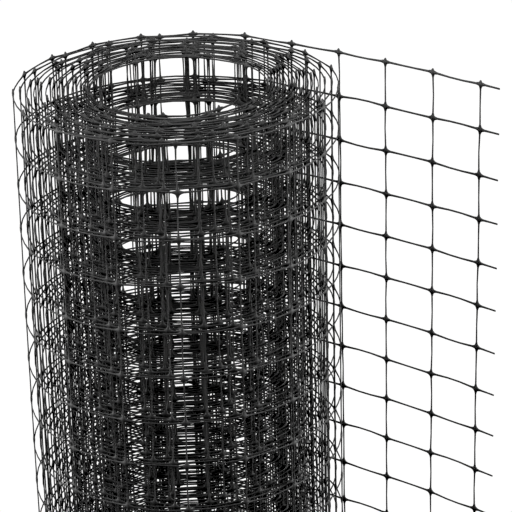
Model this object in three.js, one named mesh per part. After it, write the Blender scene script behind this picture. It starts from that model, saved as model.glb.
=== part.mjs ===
// A roll of black plastic net fencing that stands on its end, with a loose end led off to one side.
// Millimetres, +Z up. +Y points away from a person who looks at the front of the roll.
import * as THREE from 'three';

// The net
const CELL_WIDTH = 48;
const CELL_HEIGHT = 40;
const CELL_ROWS = 25;
const STRAND = 1.6;
const STUB = 3.2;
const STUB_FOOT = 5.2;
const STUB_TIP = 1.2;
const FLARE = 2.4;
const HEIGHT = CELL_ROWS * CELL_HEIGHT + 2 * STUB;

// The roll: azimuths are degrees about its axis, anticlockwise from +X seen from above, and turns
// are counted inward from where the loose end leaves
const START_AZIMUTH = 51;
const STEPS_PER_TURN = 36;
const CURL_START = 5.65;
const END_TURN = 5.8;
const CURL_DEPTH = 22;
const CURL_POWER = 2.5;

// The loose end: a flat length that leaves the outer turn along its tangent
const JOIN_GAP = 0.3;
const FIRST_COLUMN = 13.4;
const LOOSE_CELLS = 4;
const CUT_END = 19;

// The main turns from the outside in. The first leaves the loose end one net thick and then stands for
// two fine turns, and each later one for about three that lie close together.
const MAIN_TURNS = [
  { turn: 0.0, outer: 143.0, inner: 141.4 },
  { turn: 0.14, outer: 135.4, inner: 132.6 },
  { turn: 0.9, outer: 134.2, inner: 127.6 },
  { turn: 1.1, outer: 131.0, inner: 121.0 },
  { turn: 1.3, outer: 124.6, inner: 113.4 },
  { turn: 1.9, outer: 124.2, inner: 113.0 },
  { turn: 2.3, outer: 110.9, inner: 101.8 },
  { turn: 2.9, outer: 110.4, inner: 100.8 },
  { turn: 3.3, outer: 99.2, inner: 90.4 },
  { turn: 3.9, outer: 98.0, inner: 89.4 },
  { turn: 4.3, outer: 87.8, inner: 80.4 },
  { turn: 4.9, outer: 86.6, inner: 79.2 },
  { turn: 5.3, outer: 77.8, inner: 72.6 },
  { turn: 5.65, outer: 77.0, inner: 72.0 },
  { turn: 5.8, outer: 73.6, inner: 71.6 },
];

const plastic = new THREE.MeshStandardMaterial({ color: 0x1b1b1c, roughness: 0.5, metalness: 0 });

// Radius of the outer or the inner face at a turn, eased from row to row, with the curl of the free
// inner end taken off.
function faceRadius(face, turn) {
  const next = Math.max(1, MAIN_TURNS.findIndex((row) => row.turn >= turn));
  const from = MAIN_TURNS[next - 1];
  const to = MAIN_TURNS[next];
  const share = THREE.MathUtils.smoothstep(turn, from.turn, to.turn);
  const curl = Math.max(0, (turn - CURL_START) / (END_TURN - CURL_START));
  return THREE.MathUtils.lerp(from[face], to[face], share) - CURL_DEPTH * curl ** CURL_POWER;
}

function facePoint(face, turn) {
  const angle = THREE.MathUtils.degToRad(START_AZIMUTH) + 2 * Math.PI * turn;
  const radius = faceRadius(face, turn);
  return new THREE.Vector2(radius * Math.cos(angle), radius * Math.sin(angle));
}

// The wound body: one spiral section as tall as the net, open along its core.
function buildRoll() {
  const steps = Math.round(END_TURN * STEPS_PER_TURN);
  const turns = Array.from({ length: steps + 1 }, (_, step) => (END_TURN * step) / steps);
  const outerFace = turns.map((turn) => facePoint('outer', turn));
  const innerFace = turns.map((turn) => facePoint('inner', turn));
  const section = new THREE.Shape([...outerFace, ...innerFace.reverse()]);
  const geometry = new THREE.ExtrudeGeometry(section, { depth: HEIGHT, bevelEnabled: false });
  const roll = new THREE.Mesh(geometry, plastic);
  roll.name = 'net_roll';
  return roll;
}

// One gap of the net: a cell's opening whose corners are cut off by the flared crossings.
function cellGap(left, bottom) {
  const x0 = left + STRAND / 2;
  const x1 = left + CELL_WIDTH - STRAND / 2;
  const y0 = bottom + STRAND / 2;
  const y1 = bottom + CELL_HEIGHT - STRAND / 2;
  const gap = new THREE.Path();
  gap.moveTo(x0 + FLARE, y0);
  gap.lineTo(x0, y0 + FLARE);
  gap.lineTo(x0, y1 - FLARE);
  gap.lineTo(x0 + FLARE, y1);
  gap.lineTo(x1 - FLARE, y1);
  gap.lineTo(x1, y1 - FLARE);
  gap.lineTo(x1, y0 + FLARE);
  gap.lineTo(x1 - FLARE, y0);
  return gap;
}

// Cut ends of the upright strands along the bottom or the top edge, each tapered from a wide foot to
// a blunt tip.
function edgeStubs(columns, strandEdge, tip) {
  return columns.flatMap((x) => [
    new THREE.Vector2(x - STUB_FOOT / 2, strandEdge),
    new THREE.Vector2(x - STUB_TIP / 2, tip),
    new THREE.Vector2(x + STUB_TIP / 2, tip),
    new THREE.Vector2(x + STUB_FOOT / 2, strandEdge),
  ]);
}

// Cut ends of the level strands along one side, from the outermost upright to where they end. The
// first and the last run straight into the edge stubs, so they lack a corner at the upright.
function sideStubs(rows, uprightEdge, tip) {
  const corners = rows.flatMap((y) => [
    new THREE.Vector2(uprightEdge, y - STRAND / 2),
    new THREE.Vector2(tip, y - STRAND / 2),
    new THREE.Vector2(tip, y + STRAND / 2),
    new THREE.Vector2(uprightEdge, y + STRAND / 2),
  ]);
  return corners.slice(1, -1);
}

// The loose end, drawn flat: x runs away from the roll, y up from the floor.
function looseEndShape() {
  const columns = Array.from({ length: LOOSE_CELLS + 1 }, (_, i) => FIRST_COLUMN + i * CELL_WIDTH);
  const rows = Array.from({ length: CELL_ROWS + 1 }, (_, j) => STUB + j * CELL_HEIGHT);
  const left = columns[0] - STRAND / 2;
  const right = columns[LOOSE_CELLS] + STRAND / 2;
  const bottom = edgeStubs(columns, rows[0] - STRAND / 2, 0);
  const top = edgeStubs(columns, rows[CELL_ROWS] + STRAND / 2, HEIGHT);
  const cutSide = sideStubs(rows, right, columns[LOOSE_CELLS] + CUT_END);
  const rollSide = sideStubs(rows, left, JOIN_GAP);
  const net = new THREE.Shape([...bottom, ...cutSide, ...top.reverse(), ...rollSide.reverse()]);
  for (const x of columns.slice(0, LOOSE_CELLS)) {
    for (const y of rows.slice(0, CELL_ROWS)) {
      net.holes.push(cellGap(x, y));
    }
  }
  return net;
}

function buildLooseEnd() {
  const azimuth = THREE.MathUtils.degToRad(START_AZIMUTH);
  const outward = new THREE.Vector3(Math.cos(azimuth), Math.sin(azimuth), 0);
  const along = new THREE.Vector3(Math.sin(azimuth), -Math.cos(azimuth), 0);
  const up = new THREE.Vector3(0, 0, 1);
  const geometry = new THREE.ExtrudeGeometry(looseEndShape(), { depth: STRAND, bevelEnabled: false });
  const looseEnd = new THREE.Mesh(geometry, plastic);
  looseEnd.name = 'loose_end';
  const turned = new THREE.Matrix4().makeBasis(along, up, outward.clone().negate());
  looseEnd.quaternion.setFromRotationMatrix(turned);
  const faceDistance = (MAIN_TURNS[0].outer + MAIN_TURNS[0].inner + STRAND) / 2;
  looseEnd.position.copy(outward).multiplyScalar(faceDistance);
  return looseEnd;
}

// The part stands on z = 0, with its origin in the middle of its base.
const fencing = new THREE.Group();
fencing.add(buildRoll(), buildLooseEnd());
const middle = new THREE.Box3().setFromObject(fencing, true).getCenter(new THREE.Vector3());
fencing.position.set(-middle.x, -middle.y, 0);

export default fencing;
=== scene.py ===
"""A roll of black plastic net fencing that stands on its end, with a loose end led off to one side."""
import math

import bpy
import numpy as np
from bpy.props import FloatProperty, FloatVectorProperty, IntProperty, PointerProperty
from mathutils import Matrix, Vector


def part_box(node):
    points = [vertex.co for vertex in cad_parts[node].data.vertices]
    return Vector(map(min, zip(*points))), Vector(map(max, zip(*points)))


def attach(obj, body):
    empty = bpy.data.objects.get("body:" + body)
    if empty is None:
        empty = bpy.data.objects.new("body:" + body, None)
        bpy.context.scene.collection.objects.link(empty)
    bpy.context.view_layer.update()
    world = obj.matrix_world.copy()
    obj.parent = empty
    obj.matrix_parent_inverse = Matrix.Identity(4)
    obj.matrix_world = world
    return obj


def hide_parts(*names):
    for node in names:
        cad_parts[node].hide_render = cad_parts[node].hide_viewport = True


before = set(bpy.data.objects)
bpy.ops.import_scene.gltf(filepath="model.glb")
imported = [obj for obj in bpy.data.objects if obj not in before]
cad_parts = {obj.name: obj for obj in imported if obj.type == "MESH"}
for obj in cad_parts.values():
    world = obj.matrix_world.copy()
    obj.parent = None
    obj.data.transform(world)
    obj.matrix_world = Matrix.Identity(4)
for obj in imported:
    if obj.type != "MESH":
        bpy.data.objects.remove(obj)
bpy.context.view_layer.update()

bl_info = {
    "name": "Net fencing roll",
    "version": (1, 0, 0),
    "blender": (4, 5, 0),
    "location": "View3D > Sidebar > Fencing",
    "description": "Builds a standing roll of plastic net fencing, strand by strand",
    "category": "Add Mesh",
}

MM = 0.001
ROLL_LOW, ROLL_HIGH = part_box("net_roll")

# The turns of the wound net from the outside in: their radii at the back, the left, the front and the
# right of the roll. They lie a few millimetres apart at the outside and close together at the core.
SIDES = ("back_mm", "left_mm", "front_mm", "right_mm")
TURNS = [
    dict(zip(SIDES, row))
    for row in (
        (134.4, 134.2, 134.7, 133.2),
        (128.2, 128.8, 130.4, 127.8),
        (121.8, 122.9, 124.8, 122.1),
        (118.8, 117.4, 119.8, 116.7),
        (114.8, 112.6, 115.0, 112.0),
        (112.0, 107.5, 110.6, 108.5),
        (107.0, 102.3, 106.4, 104.7),
        (104.4, 97.9, 102.2, 100.6),
        (100.8, 93.1, 98.0, 97.4),
        (97.2, 89.8, 94.2, 93.6),
        (92.8, 86.2, 90.6, 90.2),
        (90.4, 82.2, 87.0, 86.2),
        (85.8, 79.2, 83.6, 82.8),
        (82.6, 76.4, 80.6, 79.8),
        (78.2, 74.4, 78.0, 77.3),
        (75.4, 72.7, 75.8, 75.0),
        (72.4, 71.4, 73.8, 60.0),
    )
]

# Where the uprights of one turn settle on those of the last, at the back and at the front: the
# middle and the half width of a cluster, as shares of a cell counted past a column.
NESTS = {
    "back": {"middle": 0.4, "half_width": 0.36},
    "front": {"middle": 0.46, "half_width": 0.34},
}

# How far the columns of the outer turns have slipped at the left and the right of the roll, in cells.
SLIPS = [
    {"left": left, "right": right}
    for left, right in (
        (0.25, 0.0), (0.1, -0.4), (-0.15, 0.4), (0.0, 0.3), (0.35, 0.4),
        (-0.3, -0.45), (0.5, -0.2), (0.05, -0.4), (-0.5, 0.4),
    )
]

# Columns of crossings are counted inward along the net: column 1 is the last one on the loose end.
# The wound columns are shared out among a few pieces of equal length, parted at half a cell.
LOOSE_FIRST, LOOSE_LAST = -3, 1
WOUND_PIECES = 6
CUT_SHARE = 0.5

# A strand's section, six corners: across and outward, in half widths and half thicknesses.
SHOULDER = 0.55
SECTION = np.array([
    (-1, 0), (-SHOULDER, 1), (SHOULDER, 1), (1, 0), (SHOULDER, -1), (-SHOULDER, -1),
])

# A crossing has four corners, each with a middle, an outward and an inward point. The last two
# stand in from the middle one, at a share of its distance from the centre.
CORNERS = np.array([(1, 1), (-1, 1), (-1, -1), (1, -1)])
MIDDLE, OUTWARD, INWARD = range(3)
FACE_SHARE = 0.78


def portal(low, high):
    """A strand's six places on a crossing's side, between its low and its high corner."""
    return [
        (low, MIDDLE), (low, OUTWARD), (high, OUTWARD),
        (high, MIDDLE), (high, INWARD), (low, INWARD),
    ]


AHEAD, BEHIND, ABOVE, BELOW = portal(3, 0), portal(2, 1), portal(0, 1), portal(3, 2)


class FENCING_PG_net(bpy.types.PropertyGroup):
    """The net as it lies flat."""

    cell_width: FloatProperty(
        name="Cell width", description="From upright to upright",
        default=48 * MM, unit="LENGTH")
    rows: IntProperty(
        name="Rows", description="Cells from the bottom to the top edge", default=25)
    stub: FloatProperty(
        name="Edge stub", description="How far the uprights stand past the edge strands",
        default=3.2 * MM, unit="LENGTH")
    level_width: FloatProperty(
        name="Level strand", description="Width of the strands that run round the roll",
        default=1.58 * MM, unit="LENGTH")
    upright_width: FloatProperty(
        name="Upright strand", description="Width of the strands that run up the roll",
        default=1.14 * MM, unit="LENGTH")
    level_thickness: FloatProperty(
        name="Level thickness", description="Thickness of the level strands through the net",
        default=0.75 * MM, unit="LENGTH")
    upright_thickness: FloatProperty(
        name="Upright thickness", description="Thickness of the upright strands through the net",
        default=0.9 * MM, unit="LENGTH")
    crossing: FloatProperty(
        name="Crossing", description="Half the width of the pad where two strands cross",
        default=1.9 * MM, unit="LENGTH")
    crossing_thickness: FloatProperty(
        name="Crossing thickness", description="Thickness of that pad",
        default=1.7 * MM, unit="LENGTH")
    flare: FloatProperty(
        name="Flare", description="Length over which a strand narrows from the pad",
        default=1.5 * MM, unit="LENGTH")
    level_bow: FloatProperty(
        name="Level bow", description="How far the level strands bow in every other cell",
        default=1.1 * MM, unit="LENGTH")
    upright_bow: FloatProperty(
        name="Upright bow", description="How far the upright strands bow",
        default=0.6 * MM, unit="LENGTH")
    unevenness: FloatProperty(
        name="Unevenness", description="How far the crossings stray from an even grid",
        default=0.35 * MM, unit="LENGTH")
    wander: FloatProperty(
        name="Wander", description="How far the wound uprights wander sideways on their way up",
        default=1.3 * MM, unit="LENGTH")
    seed: IntProperty(name="Seed", description="Start of the unevenness", default=11)


class FENCING_PG_winding(bpy.types.PropertyGroup):
    """How the net is wound."""

    start_azimuth: FloatProperty(
        name="Start", description="Where the loose end leaves the roll, anticlockwise from +X",
        default=math.radians(51), subtype="ANGLE")
    start_radius: FloatProperty(
        name="Start radius", description="From the roll's axis to where the loose end leaves",
        default=137.2 * MM, unit="LENGTH")
    start_column: FloatProperty(
        name="Start column", description="Columns counted up to where the loose end leaves",
        default=1.284)
    back_column: FloatProperty(
        name="Back column", description="Columns counted up to the first pass of the back",
        default=3.25)
    front_column: FloatProperty(
        name="Front column", description="Columns counted up to the first pass of the front",
        default=11.95)
    back_turn: FloatProperty(
        name="Back", description="Part of a turn from the start to the middle of the back",
        default=0.1083)
    end_turn: FloatProperty(
        name="End", description="Turns up to the last upright", default=16.694)
    slip: FloatProperty(
        name="Slip", description="How far the columns of the inner turns slip at the sides, in cells",
        default=0.6)
    drawn: FloatProperty(
        name="Drawn", description="Width of the strands wound tight, as a share of the loose ones",
        default=0.86)
    belly: FloatProperty(
        name="Belly", description="How far the wound wall swells at mid height",
        default=2 * MM, unit="LENGTH")
    lean: FloatVectorProperty(
        name="Lean", description="How far the roll bows over at mid height, along X and Y",
        default=(-3.5 * MM, -6 * MM), size=2, unit="LENGTH")
    leave: FloatProperty(
        name="Leave", description="Heading of the loose end where it leaves, from +X",
        default=math.radians(-33.8), subtype="ANGLE")
    bend: FloatProperty(
        name="Bend", description="How far that heading turns along the loose end",
        default=math.radians(-10), subtype="ANGLE")
    hook: FloatProperty(
        name="Hook", description="Length of the cut level strands past the last upright",
        default=46 * MM, unit="LENGTH")
    hook_radius: FloatProperty(
        name="Hook radius", description="Radius of their curl at the tip",
        default=15 * MM, unit="LENGTH")
    cut_end: FloatProperty(
        name="Cut end", description="Length of the level strands past the loose end's last upright",
        default=19 * MM, unit="LENGTH")


class FENCING_PG_plastic(bpy.types.PropertyGroup):
    """The plastic's finish."""

    colour: FloatVectorProperty(
        name="Black", description="The plastic's colour", subtype="COLOR", size=3,
        default=(0.008, 0.008, 0.0084))
    worn: FloatVectorProperty(
        name="Worn black", description="Where handling has dulled it", subtype="COLOR", size=3,
        default=(0.02, 0.02, 0.02))
    roughness: FloatProperty(
        name="Roughness", description="Mean roughness of the satin skin",
        default=0.42, subtype="FACTOR", min=0, max=1)
    shine: FloatProperty(
        name="Shine", description="Strength of its reflections",
        default=0.35, subtype="FACTOR", min=0, max=1)


class FENCING_PG_stage(bpy.types.PropertyGroup):
    """Floor, light and camera."""

    floor: FloatVectorProperty(
        name="Floor", description="Colour that the floor shows", subtype="COLOR", size=3,
        default=(1, 1, 1))
    floor_glow: FloatProperty(
        name="Floor glow", description="Light that the floor itself gives", default=1.02)
    sky: FloatProperty(
        name="Sky", description="Strength of the even light all round", default=0.14)
    key: FloatProperty(
        name="Key light", description="Power that each lamp has a share of", default=78, unit="POWER")
    black_point: FloatProperty(
        name="Black point", description="Light below which the picture is black", default=0.029)
    gamma: FloatProperty(
        name="Gamma", description="Gamma of the picture, below 1 for deeper half tones", default=0.75)
    lens: FloatProperty(
        name="Lens", description="Focal length on a 36 mm sensor", default=151.53, unit="CAMERA")
    down: FloatProperty(
        name="Down", description="How far the camera looks down",
        default=math.radians(24.019), subtype="ANGLE")
    tilt: FloatProperty(
        name="Tilt", description="How far the camera leans to its right",
        default=math.radians(1.7375), subtype="ANGLE")
    place: FloatVectorProperty(
        name="Camera", description="Place of the camera, from the roll's axis at its top strand",
        default=(61.1 * MM, -1679.0 * MM, 591.9 * MM), subtype="TRANSLATION", size=3)


def eased(places, marks, values):
    """A smooth curve through values at some marks."""
    slopes = np.gradient(values, marks)
    spot = np.clip(np.searchsorted(marks, places, side="right") - 1, 0, len(marks) - 2)
    span = marks[spot + 1] - marks[spot]
    share = (places - marks[spot]) / span
    rise = share * share * (3 - 2 * share)
    lead = slopes[spot] * share * (1 - share) ** 2
    follow = slopes[spot + 1] * share * share * (1 - share)
    return values[spot] + (values[spot + 1] - values[spot]) * rise + span * (lead - follow)


class Line:
    """The net's middle line seen from above, by the column that it has reached."""

    STEPS_PER_TURN = 400
    LOOSE_STEPS = 200
    HOOK_STEPS = 120
    # The hook is drawn out past its tip, so that its way ahead there is known.
    HOOK_DRAWN = 1.3
    # Lap after lap, this share of a cell spreads the slips of the inner turns evenly.
    GOLDEN = 0.382
    # Columns past the start over which the wall comes to its belly and its lean.
    SETTLE_IN = 3

    def __init__(self, net, winding):
        turns = np.linspace(0, winding.end_turn, int(winding.end_turn * self.STEPS_PER_TURN))
        angles = winding.start_azimuth + 2 * np.pi * turns
        radii = self.radii(turns, winding)
        wound = np.stack([radii * np.cos(angles), radii * np.sin(angles)], 1)
        arcs = np.concatenate([[0], np.cumsum(np.hypot(*np.diff(wound, axis=0).T))])
        columns = self.columns(turns, arcs, net, winding)
        loose, loose_columns = self.loose_end(wound[0], net, winding)
        hook, hook_columns = self.hook(wound, columns[-1], net, winding)
        points = np.concatenate([loose, wound, hook])
        self.count = np.concatenate([loose_columns, columns, hook_columns])
        ahead = np.gradient(points, axis=0)
        self.ahead = ahead / np.hypot(*ahead.T)[:, None]
        self.middle = self.axis(wound)
        self.points = points + self.middle
        self.last = int(columns[-1])
        self.winding = winding

    @staticmethod
    def radii(turns, winding):
        """Radius at each turn, eased from side to side of the roll."""
        marks, radii = [0], [winding.start_radius]
        for lap, turn in enumerate(TURNS):
            for quarter, side in enumerate(SIDES):
                marks.append(lap + winding.back_turn + quarter / 4)
                radii.append(turn[side] * MM)
        return eased(turns, np.array(marks), np.array(radii))

    @staticmethod
    def columns(turns, arcs, net, winding):
        """Columns counted at each point: by length, but nested at the back and at the front."""
        marks = [0, winding.back_turn, winding.back_turn + 0.5]
        counts = [winding.start_column, winding.back_column, winding.front_column]
        while marks[-1] + 0.5 < winding.end_turn:
            marks.append(marks[-1] + 0.5)
            passed, reached = np.interp(marks[-2:], turns, arcs)
            count = counts[-1] + (reached - passed) / net.cell_width
            nest = NESTS["front" if len(marks) % 2 else "back"]
            stray = (count - nest["middle"] + 0.5) % 1 - 0.5
            over = max(0, abs(stray) - nest["half_width"])
            counts.append(count - math.copysign(2 * over, stray))
        mark_arcs = np.append(np.interp(marks, turns, arcs), arcs[-1])
        last = round(counts[-1] + (arcs[-1] - mark_arcs[-2]) / net.cell_width)
        counts = np.append(counts, last)
        lap = (np.arange(len(marks)) - 1) // 2
        slip = winding.slip * ((Line.GOLDEN * lap) % 1 - 0.5)
        outer = [turn[side] for turn in SLIPS for side in ("left", "right")]
        slip[1:len(outer) + 1] = outer
        slip[[0, -1]] = 0
        sides = (mark_arcs[1:] + mark_arcs[:-1]) / 2
        side_counts = (counts[1:] + counts[:-1]) / 2 + slip
        known = np.concatenate([mark_arcs, sides])
        order = np.argsort(known)
        return np.interp(arcs, known[order], np.concatenate([counts, side_counts])[order])

    @staticmethod
    def loose_end(foot, net, winding):
        """The loose end, from its cut end to where it meets the roll: it bends back a little."""
        count = np.linspace(winding.start_column, LOOSE_FIRST - 1, Line.LOOSE_STEPS)[1:]
        away = (winding.start_column - count) * net.cell_width
        heading = winding.leave + winding.bend * away / away[-1]
        moves = np.stack([np.cos(heading), np.sin(heading)], 1) * away[0]
        points = foot + np.cumsum(moves, axis=0)
        return points[::-1], count[::-1]

    @staticmethod
    def hook(wound, column, net, winding):
        """The free inner end: its curl tightens towards the tip."""
        last = wound[-1] - wound[-2]
        reach = np.linspace(0, Line.HOOK_DRAWN * winding.hook, Line.HOOK_STEPS)
        step = reach[1]
        bends = [1 / np.hypot(*wound[-1]), 1 / winding.hook_radius]
        bend = np.interp(reach, [0, winding.hook], bends)
        heading = math.atan2(last[1], last[0]) + np.cumsum(bend) * step
        moves = np.stack([np.cos(heading), np.sin(heading)], 1) * step
        return wound[-1] + np.cumsum(moves, axis=0), column + (reach + step) / net.cell_width

    @staticmethod
    def axis(wound):
        """Where the roll's axis stands: the outer turn fills the solid's box evenly."""
        middle = (wound.min(0) + wound.max(0)) / 2
        box = (ROLL_LOW + ROLL_HIGH) / 2
        return np.array([box.x, box.y]) - middle

    def at(self, count, height):
        """Points at a column count and a height, with the ways ahead and outward there."""
        place = [np.interp(count, self.count, self.points[:, axis]) for axis in (0, 1)]
        ahead = [np.interp(count, self.count, self.ahead[:, axis]) for axis in (0, 1)]
        mid_height = np.sin(np.pi * np.clip(height / ROLL_HIGH.z, 0, 1))
        wound = np.clip((count - self.winding.start_column) / self.SETTLE_IN, 0, 1)
        swell = mid_height * wound * wound * (3 - 2 * wound)
        for axis, lean in enumerate(self.winding.lean):
            out = (place[axis] - self.middle[axis]) / self.winding.start_radius
            place[axis] = place[axis] + swell * (lean + self.winding.belly * out)
        points = np.stack([*place, height], -1)
        forward = np.stack([*ahead, np.zeros_like(height)], -1)
        outward = np.stack([ahead[1], -ahead[0], np.zeros_like(height)], -1)
        return points, forward, outward


class Net:
    """The flat net: where its crossings lie and how its strands bow, all columns in one grid."""

    # The rows of the wound net drift up and down by a share of their height, in two waves whose
    # angles grow from column to column. Its first columns stay true.
    DRIFT_SHARE = 0.0006
    DRIFT_WAVES = {"short": 0.31, "long": 0.083}
    TRUE_COLUMNS = 4
    # The uprights wander in waves of their own, more and more from the outside in.
    WANDER_WAVES = {"slowest": 0.25, "fastest": 0.7}
    WANDER_COLUMNS = 120
    # Every other level strand bows little, and chance takes its part in each bow.
    SLIGHT_BOW = 0.2
    LEVEL_CHANCE = 0.35
    UPRIGHT_BOW = 0.7
    UPRIGHT_CHANCE = 0.6

    def __init__(self, net, winding):
        self.net = net
        self.line = Line(net, winding)
        self.first = LOOSE_FIRST - 1
        total = self.line.last + 2 - self.first + 1
        height = ROLL_HIGH.z - ROLL_LOW.z
        self.cell_height = (height - 2 * net.stub) / net.rows
        draw = np.random.default_rng(net.seed)
        shape = (total, net.rows + 1)
        column = np.arange(total)[:, None] + self.first
        row = np.arange(net.rows + 1)[None, :]
        stray = net.unevenness * draw.uniform(-1, 1, (2, *shape))
        past_true = column - LOOSE_LAST - self.TRUE_COLUMNS
        short = np.sin(column * self.DRIFT_WAVES["short"] + draw.uniform(0, 6))
        drift = self.DRIFT_SHARE * short * np.sin(column * self.DRIFT_WAVES["long"]) * (past_true > 0)
        turn = draw.uniform(0, 2 * np.pi, (total, 1))
        waves = np.sin(row * draw.uniform(*self.WANDER_WAVES.values(), (total, 1)) + turn)
        wander = net.wander * waves * np.clip(past_true / self.WANDER_COLUMNS, 0, 1)
        self.count = column + (stray[0] + wander) / net.cell_width
        even = row * self.cell_height
        inside = np.clip(row / 2, 0, 1)
        self.level = ROLL_LOW.z + net.stub + even * (1 + drift) + stray[1] * inside
        sag = np.where(row % 2, -1, 1) * np.where(column % 2, 1, self.SLIGHT_BOW)
        chance = draw.uniform(-self.LEVEL_CHANCE, self.LEVEL_CHANCE, shape)
        self.level_bow = net.level_bow * (sag + chance) * inside
        lean = np.where(column % 2, 1, -1)
        chance = draw.uniform(-self.UPRIGHT_CHANCE, self.UPRIGHT_CHANCE, shape)
        self.upright_bow = net.upright_bow * (lean * self.UPRIGHT_BOW + chance)

    def grid(self, first, last):
        """Where the columns from first to last lie in the grid."""
        return slice(first - self.first, last - self.first + 1)


class Weave:
    """Points and four-sided faces of one piece of net, with a patch of the map for each strand."""

    # Bare edge of a patch, as a share of its side.
    PATCH_EDGE = 0.08

    def __init__(self):
        self.points, self.faces, self.patches, self.spots = [], [], [], []
        self.total = 0
        self.patch_total = 0

    def add_points(self, points):
        """Adds points of any grid and returns their numbers in the same grid."""
        grid = points.shape[:-1]
        numbers = np.arange(self.total, self.total + int(np.prod(grid))).reshape(grid)
        self.points.append(points.reshape(-1, 3))
        self.total += numbers.size
        return numbers

    def add_faces(self, faces, spots):
        """Adds faces, strands by faces by four, with each corner's spot in the strand's patch."""
        strands, each = faces.shape[:2]
        self.faces.append(faces.reshape(-1, 4))
        self.spots.append(np.broadcast_to(spots, (strands, each, 4, 2)).reshape(-1, 2))
        patch = self.patch_total + np.arange(strands)
        self.patches.append(np.repeat(patch, each * 4))
        self.patch_total += strands

    def add_strands(self, rings):
        """Skins rings of points, strands by rings by six."""
        total = rings.shape[1] - 1
        turned = np.roll(rings, -1, axis=2)
        faces = np.stack([rings[:, :-1], rings[:, 1:], turned[:, 1:], turned[:, :-1]], -1)
        sides = len(SECTION)
        along, round_ = np.meshgrid(np.arange(total), np.arange(sides), indexing="ij")
        corners = [(along, round_), (along + 1, round_), (along + 1, round_ + 1), (along, round_ + 1)]
        spots = np.stack([np.stack([a / total, b / sides], -1) for a, b in corners], -2)
        self.add_faces(faces.reshape(len(rings), -1, 4), spots.reshape(-1, 4, 2))

    def add_caps(self, rings, far):
        """Closes strands at their far or near ends, strands by six."""
        halves = [(3, 2, 1, 0), (0, 5, 4, 3)] if far else [(0, 1, 2, 3), (3, 4, 5, 0)]
        faces = np.stack([rings[:, half] for half in halves], 1)
        spots = np.array([
            [(0, 0), (1, 0), (1, 0.5), (0, 0.5)], [(1, 0.5), (1, 1), (0, 1), (0, 0.5)],
        ])
        self.add_faces(faces, spots)

    def make(self, name):
        """The piece as a Blender object, smooth, with its map."""
        mesh = bpy.data.meshes.new(name)
        points = np.concatenate(self.points)
        faces = np.concatenate(self.faces)
        mesh.vertices.add(len(points))
        mesh.vertices.foreach_set("co", points.ravel())
        mesh.loops.add(faces.size)
        mesh.loops.foreach_set("vertex_index", faces.ravel())
        mesh.polygons.add(len(faces))
        mesh.polygons.foreach_set("loop_start", np.arange(0, faces.size, 4))
        mesh.update(calc_edges=True)
        mesh.polygons.foreach_set("use_smooth", np.ones(len(faces), bool))
        side = math.ceil(math.sqrt(self.patch_total))
        patch = np.concatenate(self.patches)
        corner = np.stack([patch % side, patch // side], 1)
        inside = 1 - 2 * self.PATCH_EDGE
        spots = (corner + self.PATCH_EDGE + inside * np.concatenate(self.spots)) / side
        mesh.uv_layers.new(name="OFBake").uv.foreach_set("vector", spots.ravel())
        piece = bpy.data.objects.new(name, mesh)
        bpy.context.scene.collection.objects.link(piece)
        return piece


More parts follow.
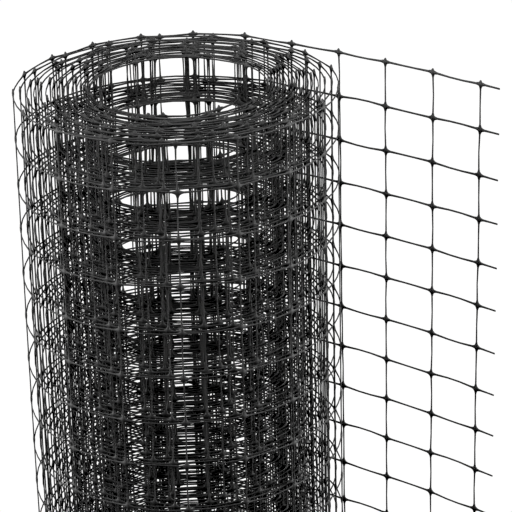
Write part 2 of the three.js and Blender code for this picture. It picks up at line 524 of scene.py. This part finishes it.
class NetPiece:
    """One length of net, from its first to its last column, as joined crossings and strands."""

    UP = np.array((0.0, 0.0, 1.0))
    # Width of either face of a crossing in its patch of the map, as a share.
    PAD_PATCH = 0.45
    # Where a strand's sections lie: two close to each crossing, the others a step apart.
    CLOSE = np.array((2.4, 4.6)) * MM
    LEVEL_STEP = 13 * MM
    UPRIGHT_STEP = 16 * MM
    # Half width and height of a crossing's outer side on the bottom and the top edge, and the
    # pointed stub that stands on it.
    EDGE_PAD = np.array((2.5, 0.8)) * MM
    PEAK = (
        {"reach": 0.5, "half_width": 1.55 * MM, "half_thickness": 0.7 * MM},
        {"reach": 0.84, "half_width": 0.85 * MM, "half_thickness": 0.6 * MM},
        {"reach": 1.0, "half_width": 0.35 * MM, "half_thickness": 0.4 * MM},
    )

    def __init__(self, whole, first, last, start_share, end_share):
        self.whole, self.net, self.line = whole, whole.net, whole.line
        self.drawn = 1 if first == LOOSE_FIRST else self.line.winding.drawn
        self.first, self.last = first, last
        self.weave = Weave()
        here = whole.grid(first, last)
        self.count, self.level = whole.count[here], whole.level[here]
        self.crossings = self.add_crossings()
        self.add_uprights()
        for below in (False, True):
            self.add_peaks(below)
        if last > first:
            self.add_level_strands(range(first, last), 0, 1)
        self.add_level_strands([first - 1], start_share, 1)
        self.add_level_strands([last], 0, end_share)

    def add_crossings(self):
        """The pads, columns by rows by corners by levels, with their two faces."""
        net = self.net
        centres, forward, outward = self.line.at(self.count, self.level)
        reach = np.full((net.rows + 1, 4, 2), net.crossing)
        reach[-1, :2] = self.EDGE_PAD
        reach[0, 2:] = self.EDGE_PAD
        reach = reach * CORNERS
        half = net.crossing_thickness / 2
        levels = []
        for size, lift in ((1, 0), (FACE_SHARE, half), (FACE_SHARE, -half)):
            flat = forward[:, :, None] * (size * reach[..., :1]) + self.UP * (size * reach[..., 1:])
            levels.append(centres[:, :, None] + flat + outward[:, :, None] * lift)
        numbers = self.weave.add_points(np.stack(levels, 3))
        part = self.PAD_PATCH
        spots = np.array([(0, 0), (part, 0), (part, 1), (0, 1)])
        spots = np.stack([spots, spots + (1 - part, 0)])
        faces = np.stack([numbers[:, :, :, OUTWARD], numbers[:, :, ::-1, INWARD]], 2)
        self.weave.add_faces(faces.reshape(-1, 2, 4), spots)
        return numbers

    def portals(self, columns, rows, side):
        """The numbers of a strand's six points on one side of some crossings."""
        corners, levels = np.array(side).T
        return self.crossings[columns[:, None], rows[:, None], corners, levels]

    def rings(self, centres, across, outward, half_width, half_thickness):
        """Adds a section at each centre."""
        wide = (SECTION[:, 0] * half_width[..., None])[..., None] * across[..., None, :]
        deep = (SECTION[:, 1] * half_thickness[..., None])[..., None] * outward[..., None, :]
        return self.weave.add_points(centres[..., None, :] + wide + deep)

    def sections(self, away, width, thickness):
        """Half width and half thickness of a strand at a distance from the nearest crossing."""
        net = self.net
        width = width * self.drawn
        near = np.exp(-np.maximum(away - net.crossing, 0) / net.flare)
        half_width = width / 2 + (net.crossing - width / 2) * near
        half_thickness = (thickness + (net.crossing_thickness - thickness) * near) / 2
        return half_width, half_thickness

    def shares(self, length, start, end, step):
        """Where a strand's sections lie, as shares of its length: close together by a crossing."""
        close = self.CLOSE / length
        low = close if start == 0 else np.array([start])
        high = 1 - close[::-1] if end == 1 else np.array([end])
        inner = max(0, math.ceil((high[0] - low[-1]) * length / step) - 1)
        return np.concatenate([low, np.linspace(low[-1], high[0], inner + 2)[1:-1], high])

    @staticmethod
    def between(low, high, share):
        """Values along strands, from crossing to crossing."""
        return low[:, None] * (1 - share) + high[:, None] * share

    @staticmethod
    def arch(share):
        """A bow's rise along a strand: 1 half way."""
        return 4 * share * (1 - share)

    def add_level_strands(self, cells, start, end):
        """The strands round the roll in some cells, whole or cut short at either end."""
        net, whole = self.net, self.whole
        cells = np.asarray(cells)
        shares = self.shares(net.cell_width, start, end, self.LEVEL_STEP)
        rows = np.arange(net.rows + 1)
        cell, row = (grid.ravel() for grid in np.meshgrid(cells, rows, indexing="ij"))
        spot = cell - whole.first
        share = np.broadcast_to(shares, (len(cell), len(shares)))
        count = self.between(whole.count[spot, row], whole.count[spot + 1, row], share)
        level = self.between(whole.level[spot, row], whole.level[spot + 1, row], share)
        level = level + whole.level_bow[spot, row][:, None] * self.arch(share)
        centres, _, outward = self.line.at(count, level)
        away = np.minimum(share if start == 0 else 1, 1 - share if end == 1 else 1) * net.cell_width
        across = np.broadcast_to(self.UP, centres.shape)
        sections = self.sections(away, net.level_width, net.level_thickness)
        rings = self.rings(centres, across, outward, *sections)
        parts = [rings]
        if start == 0:
            parts.insert(0, self.portals(cell - self.first, row, AHEAD)[:, None])
        else:
            self.weave.add_caps(rings[:, 0], far=False)
        if end == 1:
            parts.append(self.portals(cell + 1 - self.first, row, BEHIND)[:, None])
        else:
            self.weave.add_caps(rings[:, -1], far=True)
        self.weave.add_strands(np.concatenate(parts, 1))

    def add_uprights(self):
        """The strands up the roll."""
        net, whole = self.net, self.whole
        shares = self.shares(whole.cell_height, 0, 1, self.UPRIGHT_STEP)
        column, row = np.meshgrid(np.arange(len(self.count)), np.arange(net.rows), indexing="ij")
        column, row = column.ravel(), row.ravel()
        bow = whole.upright_bow[whole.grid(self.first, self.last)][column, row][:, None]
        count = self.between(self.count[column, row], self.count[column, row + 1], shares)
        count = count + bow / net.cell_width * self.arch(shares)
        level = self.between(self.level[column, row], self.level[column, row + 1], shares)
        centres, forward, outward = self.line.at(count, level)
        away = np.broadcast_to(np.minimum(shares, 1 - shares) * whole.cell_height, count.shape)
        sections = self.sections(away, net.upright_width, net.upright_thickness)
        rings = self.rings(centres, -forward, outward, *sections)
        start = self.portals(column, row, ABOVE)[:, None]
        end = self.portals(column, row + 1, BELOW)[:, None]
        self.weave.add_strands(np.concatenate([start, rings, end], 1))

    def add_peaks(self, below):
        """The pointed stubs of the uprights past the bottom or the top edge strand."""
        net = self.net
        columns = np.arange(len(self.count))
        row = np.full_like(columns, 0 if below else net.rows)
        way = -1 if below else 1
        reach = np.array([part["reach"] for part in self.PEAK]) * net.stub * way
        half_width = np.array([part["half_width"] for part in self.PEAK])
        half_thickness = np.array([part["half_thickness"] for part in self.PEAK])
        grid = (len(columns), len(self.PEAK))
        count = np.broadcast_to(self.count[columns, row][:, None], grid)
        level = self.level[columns, row][:, None] + reach
        centres, forward, outward = self.line.at(count, level)
        rings = self.rings(
            centres, -forward, outward,
            np.broadcast_to(half_width, grid), np.broadcast_to(half_thickness, grid))
        edge = self.portals(columns, row, BELOW if below else ABOVE)[:, None]
        parts = [rings[:, ::-1], edge] if below else [edge, rings]
        self.weave.add_caps(rings[:, -1], far=not below)
        self.weave.add_strands(np.concatenate(parts, 1))


class Value:
    """A number in a material: its sums and products add Math nodes."""

    def __init__(self, graph, socket):
        self.graph, self.socket = graph, socket

    def math(self, operation, *values):
        return self.graph.node("ShaderNodeMath", {"operation": operation}, dict(enumerate(values)))

    def __add__(self, other):
        return self.math("ADD", self, other)

    def __radd__(self, other):
        return self.math("ADD", other, self)

    def __sub__(self, other):
        return self.math("SUBTRACT", self, other)

    def __rsub__(self, other):
        return self.math("SUBTRACT", other, self)

    def __mul__(self, other):
        return self.math("MULTIPLY", self, other)

    def __rmul__(self, other):
        return self.math("MULTIPLY", other, self)


class Graph:
    """A material's nodes."""

    def __init__(self, name):
        self.material = bpy.data.materials.new(name)
        self.material.use_nodes = True
        self.tree = self.material.node_tree
        self.tree.nodes.clear()

    def node(self, kind, settings=None, sockets=None, output=0):
        """Adds a node: its settings first, then the values or links of its sockets."""
        node = self.tree.nodes.new(kind)
        for name, value in (settings or {}).items():
            setattr(node, name, value)
        for name, value in (sockets or {}).items():
            if isinstance(value, Value):
                self.tree.links.new(value.socket, node.inputs[name])
            else:
                node.inputs[name].default_value = value
        return Value(self, node.outputs[output]) if node.outputs else None


# The skin of the plastic: wide blotches where it is worn, and a fine grain all over.
BLOTCHES = {"Scale": 26, "Detail": 3}
GRAIN = {"Scale": 900, "Detail": 4}
GRAIN_SHARE = 0.2
WORN_RANGE = {"From Min": 0.42, "From Max": 0.66}
GRAIN_BUMP = {"Strength": 0.22, "Distance": 0.12 * MM}
# How far wear and grain change the roughness, about its mean.
SMOOTHER, WORN_ROUGHER, GRAIN_ROUGHER = 0.06, 0.1, 0.16


def black_plastic(look):
    """Satin black plastic with a fine grain, a little dulled by handling."""
    graph = Graph("black_plastic")
    place = graph.node("ShaderNodeTexCoord", output=3)
    blotches, grain = (
        graph.node("ShaderNodeTexNoise", {"noise_dimensions": "3D"}, {"Vector": place, **noise})
        for noise in (BLOTCHES, GRAIN)
    )
    wear = blotches * (1 - GRAIN_SHARE) + grain * GRAIN_SHARE
    worn = graph.node(
        "ShaderNodeMapRange", {"interpolation_type": "SMOOTHSTEP"}, {"Value": wear, **WORN_RANGE})
    colour = graph.node(
        "ShaderNodeMix", {"data_type": "RGBA"},
        {"Factor": worn, "A": (*look.colour, 1), "B": (*look.worn, 1)}, output=2)
    smooth = look.roughness - SMOOTHER
    roughness = smooth + worn * WORN_ROUGHER + (grain - 0.5) * GRAIN_ROUGHER
    bump = graph.node("ShaderNodeBump", None, {**GRAIN_BUMP, "Height": grain})
    skin = graph.node(
        "ShaderNodeBsdfPrincipled", None,
        {"Base Color": colour, "Roughness": roughness, "Normal": bump,
         "Specular IOR Level": look.shine})
    graph.node("ShaderNodeOutputMaterial", None, {"Surface": skin})
    return graph.material


def dress(piece, node, look):
    """Gives a piece its finish, hangs it under the root body and hides the solid that it stands for.
    """
    name = "black_plastic"
    piece.data.materials.append(bpy.data.materials.get(name) or black_plastic(look))
    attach(piece, "root")
    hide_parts(node)


class FENCING_OT_wound_net(bpy.types.Operator):
    """Winds the net: one piece for each stretch of turns"""

    bl_idname = "fencing.wound_net"
    bl_label = "Wound net"

    def execute(self, context):
        scene = context.scene
        whole = Net(scene.fencing_net, scene.fencing_winding)
        winding = scene.fencing_winding
        edges = np.linspace(LOOSE_LAST, whole.line.last, WOUND_PIECES + 1).astype(int)
        start = winding.start_column - LOOSE_LAST
        for number, (before, last) in enumerate(zip(edges, edges[1:]), 1):
            end = winding.hook / whole.net.cell_width if number == WOUND_PIECES else CUT_SHARE
            piece = NetPiece(whole, before + 1, last, start, end)
            dress(piece.weave.make(f"wound_net_{number}"), "net_roll", scene.fencing_plastic)
            start = CUT_SHARE
        return {"FINISHED"}


class FENCING_OT_loose_end(bpy.types.Operator):
    """Adds the flat length of net that leaves the roll"""

    bl_idname = "fencing.loose_end"
    bl_label = "Loose end"

    def execute(self, context):
        scene = context.scene
        net, winding = scene.fencing_net, scene.fencing_winding
        whole = Net(net, winding)
        start = 1 - winding.cut_end / net.cell_width
        end = winding.start_column - LOOSE_LAST
        piece = NetPiece(whole, LOOSE_FIRST, LOOSE_LAST, start, end)
        dress(piece.weave.make("loose_net"), "loose_end", scene.fencing_plastic)
        return {"FINISHED"}


class FENCING_OT_stage(bpy.types.Operator):
    """Adds the floor, the lights and the camera"""

    bl_idname = "fencing.stage"
    bl_label = "Stage"

    FLOOR_SIDE = 40.0
    SENSOR = 36
    # The lamps' places and sides are in metres, and they aim at a share of the roll's height.
    AIM_SHARE = 0.75
    LIGHTS = (
        {"name": "front_softbox", "place": (-0.06, -0.8, 2.1), "side": 0.8, "share": 0.42},
        {"name": "top_softbox", "place": (-0.06, 0.05, 2.1), "side": 0.8, "share": 0.26},
        {"name": "left_softbox", "place": (-2.2, -0.3, 1.0), "side": 1.2, "share": 1.8},
        {"name": "right_softbox", "place": (2.2, -0.3, 1.0), "side": 1.2, "share": 2.0},
    )

    def execute(self, context):
        stage = context.scene.fencing_stage
        self.add_floor(stage)
        self.add_lights(stage)
        self.add_camera(context, stage)
        self.set_tones(context.scene.view_settings, stage)
        return {"FINISHED"}

    def add_floor(self, stage):
        """A floor that shows one even white: it takes no light, and it sheds none on the net."""
        half = self.FLOOR_SIDE / 2
        mesh = bpy.data.meshes.new("floor")
        corners = [(-half, -half, 0), (half, -half, 0), (half, half, 0), (-half, half, 0)]
        mesh.from_pydata(corners, [], [(0, 1, 2, 3)])
        floor = bpy.data.objects.new("floor", mesh)
        bpy.context.scene.collection.objects.link(floor)
        graph = Graph("pale_floor")
        surface = graph.node(
            "ShaderNodeBsdfPrincipled", None,
            {"Base Color": (0, 0, 0, 1), "Roughness": 0.9, "Specular IOR Level": 0.0,
             "Emission Color": (*stage.floor, 1), "Emission Strength": stage.floor_glow})
        graph.node("ShaderNodeOutputMaterial", None, {"Surface": surface})
        mesh.materials.append(graph.material)
        floor.visible_diffuse = False
        floor.visible_glossy = False

    def add_lights(self, stage):
        """Even light all round, and soft lamps above and at both sides."""
        world = bpy.data.worlds.new("even_light")
        world.use_nodes = True
        background = world.node_tree.nodes["Background"]
        background.inputs["Color"].default_value = (1, 1, 1, 1)
        background.inputs["Strength"].default_value = stage.sky
        bpy.context.scene.world = world
        aim = Vector((0, 0, self.AIM_SHARE * ROLL_HIGH.z))
        for row in self.LIGHTS:
            light = bpy.data.lights.new(row["name"], "AREA")
            light.size = row["side"]
            light.energy = stage.key * row["share"]
            lamp = bpy.data.objects.new(row["name"], light)
            lamp.location = row["place"]
            lamp.rotation_euler = (aim - lamp.location).to_track_quat("-Z", "Y").to_euler()
            bpy.context.scene.collection.objects.link(lamp)

    def add_camera(self, context, stage):
        """The photograph's view of the roll."""
        scene = context.scene
        line = Line(scene.fencing_net, scene.fencing_winding)
        camera = bpy.data.objects.new("camera", bpy.data.cameras.new("camera"))
        camera.data.lens = stage.lens
        camera.data.sensor_width = self.SENSOR
        top = ROLL_HIGH.z - scene.fencing_net.stub
        place = Vector((*line.middle, top)) + Vector(stage.place)
        turn = Matrix.Rotation(math.pi / 2 - stage.down, 4, "X")
        lean = Matrix.Rotation(-stage.tilt, 4, "Z")
        camera.matrix_world = Matrix.Translation(place) @ turn @ lean
        scene.collection.objects.link(camera)
        scene.camera = camera

    def set_tones(self, view, stage):
        """The picture's deep blacks."""
        view.view_transform = "Standard"
        view.gamma = stage.gamma
        view.use_curve_mapping = True
        view.curve_mapping.black_level = (stage.black_point,) * 3
        view.curve_mapping.update()


class FENCING_PT_sidebar(bpy.types.Panel):
    """Sizes and steps of the roll"""

    bl_idname = "FENCING_PT_sidebar"
    bl_label = "Net fencing roll"
    bl_space_type = "VIEW_3D"
    bl_region_type = "UI"
    bl_category = "Fencing"

    def draw(self, context):
        for name in PROPERTIES:
            group = getattr(context.scene, name)
            box = self.layout.box()
            for prop in group.bl_rna.properties:
                if prop.identifier not in ("rna_type", "name"):
                    box.prop(group, prop.identifier)
        for operator in OPERATORS:
            self.layout.operator(operator.bl_idname)


PROPERTIES = {
    "fencing_net": FENCING_PG_net,
    "fencing_winding": FENCING_PG_winding,
    "fencing_plastic": FENCING_PG_plastic,
    "fencing_stage": FENCING_PG_stage,
}
OPERATORS = (FENCING_OT_stage, FENCING_OT_wound_net, FENCING_OT_loose_end)
CLASSES = (*PROPERTIES.values(), *OPERATORS, FENCING_PT_sidebar)


def register():
    for cls in CLASSES:
        bpy.utils.register_class(cls)
    for name, group in PROPERTIES.items():
        setattr(bpy.types.Scene, name, PointerProperty(type=group))


def unregister():
    for name in PROPERTIES:
        delattr(bpy.types.Scene, name)
    for cls in reversed(CLASSES):
        bpy.utils.unregister_class(cls)


def main():
    register()
    bpy.ops.fencing.stage()
    bpy.ops.fencing.wound_net()
    bpy.ops.fencing.loose_end()


if __name__ == "__main__":
    main()
